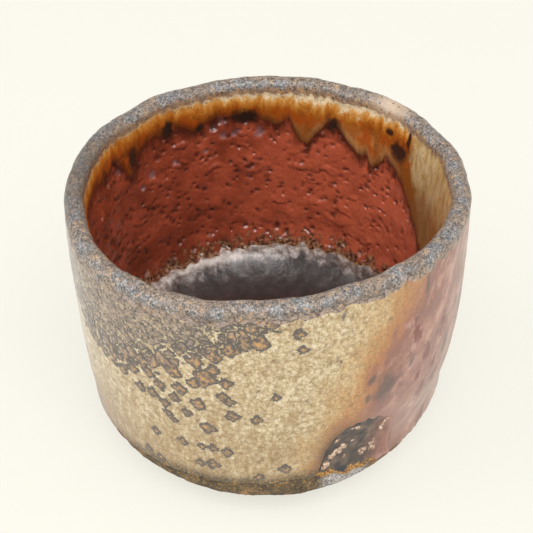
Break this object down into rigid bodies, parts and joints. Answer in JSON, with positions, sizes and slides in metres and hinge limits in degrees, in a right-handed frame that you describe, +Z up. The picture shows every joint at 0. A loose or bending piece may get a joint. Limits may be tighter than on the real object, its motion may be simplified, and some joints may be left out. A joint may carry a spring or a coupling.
{
  "type": "stoneware cup",
  "caption": "Small handleless hand-built stoneware cup with a wavy lip, natural ash glaze outside, iron-red glaze inside and a foot ring, for tea or sake.",
  "frame": {"origin": "on the table under the middle of the cup's bounding box, level with the underside of the foot ring", "axes": "+Z up out of the mouth, -Y towards the front with the kiln scar at its lower right, +X to the right"},
  "size_m": [0.0769, 0.0771, 0.0575],
  "materials": {
    "bare_clay": "unglazed grey-brown stoneware with orange flashing",
    "lip_coat": "dry speckled ash crust, grey-brown with tan and black grains",
    "ash_glaze": "straw-coloured crackled ash glaze with ochre iron spots, turning terracotta and pink at the right",
    "iron_red_glaze": "glossy iron-red glaze with pinholes",
    "amber_ash": "glossy amber ash runs",
    "dark_pool": "gunmetal brown glossy pool",
    "scorched_clay": "rough charcoal-brown scar with grit"
  },
  "bodies": {
    "root": {"clay_wall": "bare_clay", "clay_base_disc": "bare_clay", "foot_ring": "bare_clay", "lip_coat": "lip_coat", "outer_glaze": "ash_glaze", "inner_glaze": "iron_red_glaze", "ash_runs": "amber_ash", "floor_pool": "dark_pool", "kiln_scar": "scorched_clay"}
  },
  "joints": []
}
